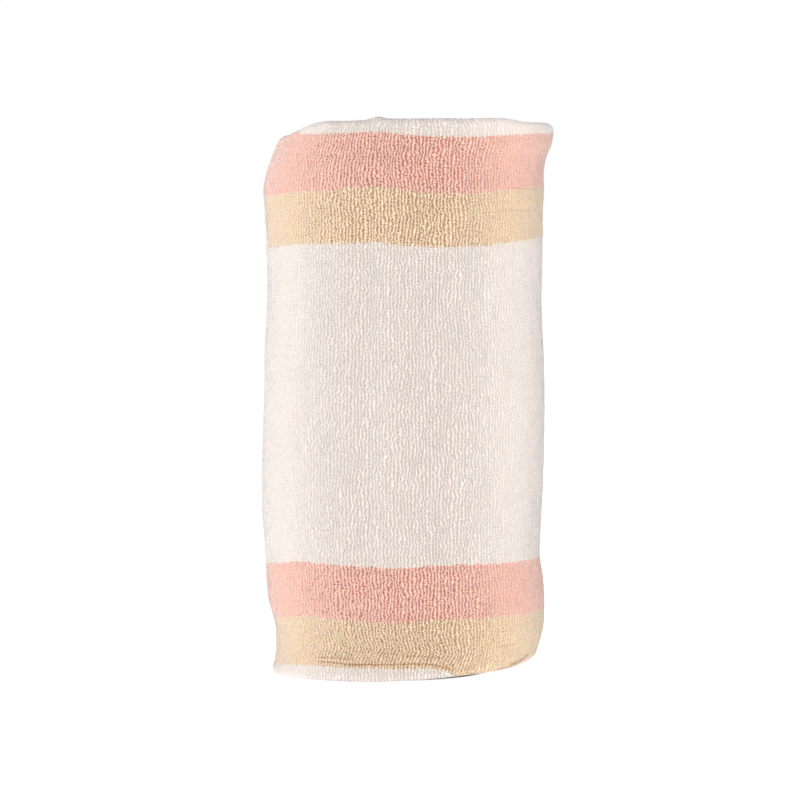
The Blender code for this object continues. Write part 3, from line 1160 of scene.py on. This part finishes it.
ragged = mottle(RAGS, rib) * RAG_REACH
stripe = (across + ragged - SAND_FROM) % STRIPE_REPEAT
in_sand = terry.within(stripe, 2 * STRIPE_SOFTNESS, PINK_FROM - SAND_FROM, STRIPE_SOFTNESS)
in_pink = terry.within(stripe, PINK_FROM - SAND_FROM, CREAM_FROM - SAND_FROM, STRIPE_SOFTNESS)
lit_tips = terry.mix(in_pink, terry.mix(in_sand, CREAM_LIT_TIP, SAND_LIT_TIP), PINK_LIT_TIP)
shaded_grounds = terry.mix(in_pink, terry.mix(in_sand, CREAM_SHADED_GROUND, SAND_SHADED_GROUND), PINK_SHADED_GROUND)
print("most that a boundary strays, mm:", round(MM_PER_METRE * RAG_REACH / 2, 1))

# %% [markdown]
# The map of the pile does two jobs: it mixes the painted shade of the ground with the painted highlight of
# the tips, and it is the height of a small bump for the loops that are finer than the mesh. Cotton scatters
# light that grazes it, so a sheen pales the roll's edges.

# %% The finish itself
PILE_BUMP = 0.0008

terry.feed(terry.shader.inputs["Base Color"], terry.mix(pile_and_shade_map, shaded_grounds, lit_tips))
terry.set(roughness=0.95, specular=0.15, sheen=0.55, sheen_roughness=0.55, sheen_tint=(0.93, 0.97, 1, 1))
bump = terry.node("ShaderNodeBump", None, {"Strength": 1.0, "Distance": PILE_BUMP, "Height": pile_and_shade_map})
terry.feed(terry.shader.inputs["Normal"], bump)
cloth_mesh.materials.append(terry.owner)
print("nodes in the terry:", len(terry.tree.nodes))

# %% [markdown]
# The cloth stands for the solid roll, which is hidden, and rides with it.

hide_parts("towel")
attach(cloth, "root")

# %% [markdown]
# ## Floor and light
#
# The picture is high key: the surroundings are white and the roll's sides are almost washed out, while the
# middle of the front shows its ribs best. A white floor alone would turn grey away from the lamps, so a grey
# one glows nearly white, but not under the roll, where the glow would fill the shadow of its edge. The oval
# that doesn't glow is darker than the floor round it: partly the roll's real shadow, partly a painted
# shadow.

# %% Floor
FLOOR_RADIUS = 30.0
FLOOR_GAP = 0.0002
FLOOR_SIDES = 96
FOOT_MIDDLE, FOOTPRINT = (-0.012, 0.008, 0.0), (0.058, 0.058, 1.0)
FOOT_EDGE, FOOT_EASE = 0.95, 0.04
BLACK, WHITE = (0, 0, 0, 1), (1, 1, 1, 1)

bpy.ops.mesh.primitive_circle_add(
    vertices=FLOOR_SIDES, radius=FLOOR_RADIUS, fill_type="NGON", location=(0, 0, -FLOOR_GAP)
)
floor = bpy.context.object
floor.name = "floor"
paper = Finish("floor paper")
paper.set(colour=(0.5, 0.5, 0.5, 1), roughness=0.9, glow_strength=0.85)
place = paper.node("ShaderNodeNewGeometry", output="Position")
aside = paper.node("ShaderNodeVectorMath", {"operation": "SUBTRACT"}, (place, FOOT_MIDDLE))
from_middle = paper.node("ShaderNodeVectorMath", {"operation": "DIVIDE"}, (aside, FOOTPRINT))
distance = paper.node("ShaderNodeVectorMath", {"operation": "LENGTH"}, (from_middle,), output="Value")
# No glow inside the oval: a painted shadow round the roll's foot.
glow_outside_shadow_patch = paper.step(distance, FOOT_EDGE, FOOT_EASE)
paper.feed(paper.shader.inputs["Emission Color"], paper.mix(glow_outside_shadow_patch, BLACK, WHITE))
floor.data.materials.append(paper.owner)
print("floor radius, m:", FLOOR_RADIUS)

# %% [markdown]
# Area lamps stand for a studio's softboxes, since a sun would draw hard shadows between the ribs. Most of
# the light comes from a broad one in front. Two weak ones, behind the left side and beside the right one,
# pale the edges, a low strip reaches the foot, and one above lights the upper end.

# %% Lamps
Lamp = namedtuple("Lamp", "name azimuth elevation distance width height watts")
LAMPS = (
    Lamp("left softbox", -112, 1, 1.6, 0.6, 1.2, 6),
    Lamp("right softbox", 66, 1, 1.6, 0.6, 1.2, 3.3),
    Lamp("front fill", -9, 0, 2.4, 1.2, 1.2, 46.5),
    Lamp("floor strip", -4, -11.3, 0.7, 0.6, 0.024, 0.75),
    Lamp("top softbox", 0, 88, 2.0, 1.5, 1.5, 19),
)
AIM = (0, 0, 0.15)

for lamp in LAMPS:
    light = bpy.data.lights.new(lamp.name, "AREA")
    light.shape, light.size, light.size_y = "RECTANGLE", lamp.width, lamp.height
    light.energy = lamp.watts
    holder = bpy.data.objects.new(lamp.name, light)
    side, up = math.radians(lamp.azimuth), math.radians(lamp.elevation)
    away = np.array([math.sin(side) * math.cos(up), -math.cos(side) * math.cos(up), math.sin(up)])
    holder.location = np.array(AIM) + away * lamp.distance
    holder.rotation_euler = (math.pi / 2 - up, 0, side)
    bpy.context.scene.collection.objects.link(holder)
print("lamps:", [lamp.name for lamp in LAMPS])

# %% [markdown]
# The world is a white room with a dimmer ceiling. A world that is white all over would light every gap
# between the loops as well as the tips, and the cloth would look flat.

# %% World
CEILING = (0.25, 0.25, 0.25, 1)
WALL_TOP, CEILING_FROM = math.sin(math.radians(7)), math.sin(math.radians(20))

studio = Graph(bpy.data.worlds.new("studio"))
direction = studio.node("ShaderNodeTexCoord", output="Generated")
upwards = studio.node("ShaderNodeSeparateXYZ", None, (direction,), output="Z")
ceiling = studio.node(
    "ShaderNodeMapRange",
    {"interpolation_type": "SMOOTHSTEP"},
    {"Value": upwards, "From Min": WALL_TOP, "From Max": CEILING_FROM},
)
room = studio.node("ShaderNodeMix", {"data_type": "RGBA"}, {0: ceiling, 6: WHITE, 7: CEILING}, output=2)
studio.feed(studio.tree.nodes["Background"].inputs["Color"], room)
bpy.context.scene.world = studio.owner
bpy.context.scene.view_settings.view_transform = "Standard"
print("world nodes:", len(studio.tree.nodes))
